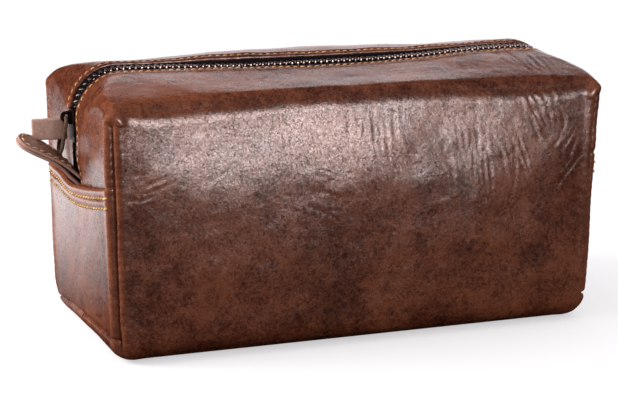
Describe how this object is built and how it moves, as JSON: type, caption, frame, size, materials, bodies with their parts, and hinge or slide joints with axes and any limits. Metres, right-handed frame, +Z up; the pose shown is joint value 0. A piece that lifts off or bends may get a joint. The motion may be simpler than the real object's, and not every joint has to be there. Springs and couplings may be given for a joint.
{
  "type": "shaving kit bag",
  "caption": "Boxy leather shaving kit bag with a zip over the top, a slider with pull ring and leather pull, and a grab tab at each end.",
  "frame": {"origin": "middle of the flat base, on the surface the bag stands on", "axes": "+Z up, +X along the bag away from the zip slider, +Y towards the back, -Y towards the front face"},
  "size_m": [0.3174, 0.131, 0.1388],
  "materials": {
    "leather": "waxed pull-up leather, semi-gloss, creased",
    "strap_leather": "smooth satin leather",
    "tab_leather": "waxed leather with cut edges",
    "lining_cloth": "plain woven lining",
    "zip_tape": "black woven tape",
    "zip_metal": "antique darkened metal",
    "slider_metal": "antique darkened metal with bright edges",
    "thread": "waxed tan thread"
  },
  "bodies": {
    "root": {"body_panel": "leather", "left_end_panel": "leather", "right_end_panel": "leather", "body_lining": "lining_cloth", "left_end_lining": "lining_cloth", "right_end_lining": "lining_cloth", "front_zip_tape": "zip_tape", "back_zip_tape": "zip_tape", "front_zip_teeth": "zip_metal", "back_zip_teeth": "zip_metal", "zip_top_stops": "zip_metal", "zip_bottom_stop": "zip_metal", "end_zip_stitching": "thread", "left_hem_stitching": "thread", "right_hem_stitching": "thread", "corner_seam_stitching": "thread"},
    "front_lip": {"front_lip": "leather", "front_lip_lining": "lining_cloth", "front_zip_stitching": "thread"},
    "back_lip": {"back_lip": "leather", "back_lip_lining": "lining_cloth", "back_zip_stitching": "thread"},
    "slider": {"zip_slider": "slider_metal"},
    "ring": {"pull_ring": "slider_metal"},
    "strap": {"pull_strap": "strap_leather"},
    "left_tab": {"left_tab_top_layer": "tab_leather", "left_tab_under_layer": "tab_leather", "left_tab_stitching": "thread"},
    "right_tab": {"right_tab_top_layer": "tab_leather", "right_tab_under_layer": "tab_leather", "right_tab_stitching": "thread"}
  },
  "joints": [
    {"name": "front_lip_open", "type": "hinge", "parent": "root", "child": "front_lip", "pos_m": [0, -0.054, 0.12871], "axis": [1, 0, 0], "range_deg": [0, 55], "deforming": ["front_zip_tape", "front_zip_teeth"]},
    {"name": "back_lip_open", "type": "hinge", "parent": "root", "child": "back_lip", "pos_m": [0, 0.054, 0.12871], "axis": [-1, 0, 0], "range_deg": [0, 55], "deforming": ["back_zip_tape", "back_zip_teeth"]},
    {"name": "slider_travel", "type": "hinge", "parent": "root", "child": "slider", "pos_m": [-0.107, 0, 0.1135], "axis": [0, 1, 0], "range_deg": [0, 80], "deforming": ["front_zip_teeth", "back_zip_teeth", "front_zip_tape", "back_zip_tape"]},
    {"name": "ring_swing", "type": "hinge", "parent": "slider", "child": "ring", "pos_m": [-0.1341, 0, 0.1122], "axis": [0, 1, 0], "range_deg": [0, 110]},
    {"name": "strap_swing", "type": "hinge", "parent": "ring", "child": "strap", "pos_m": [-0.1341, 0.0039, 0.1122], "axis": [0.1908, 0, 0.9816], "range_deg": [-35, 35]},
    {"name": "left_tab_flex", "type": "hinge", "parent": "root", "child": "left_tab", "pos_m": [-0.13245, 0, 0.0856], "axis": [0, 1, 0], "range_deg": [-35, 0]},
    {"name": "right_tab_flex", "type": "hinge", "parent": "root", "child": "right_tab", "pos_m": [0.13245, 0, 0.0856], "axis": [0, -1, 0], "range_deg": [-35, 0]}
  ]
}
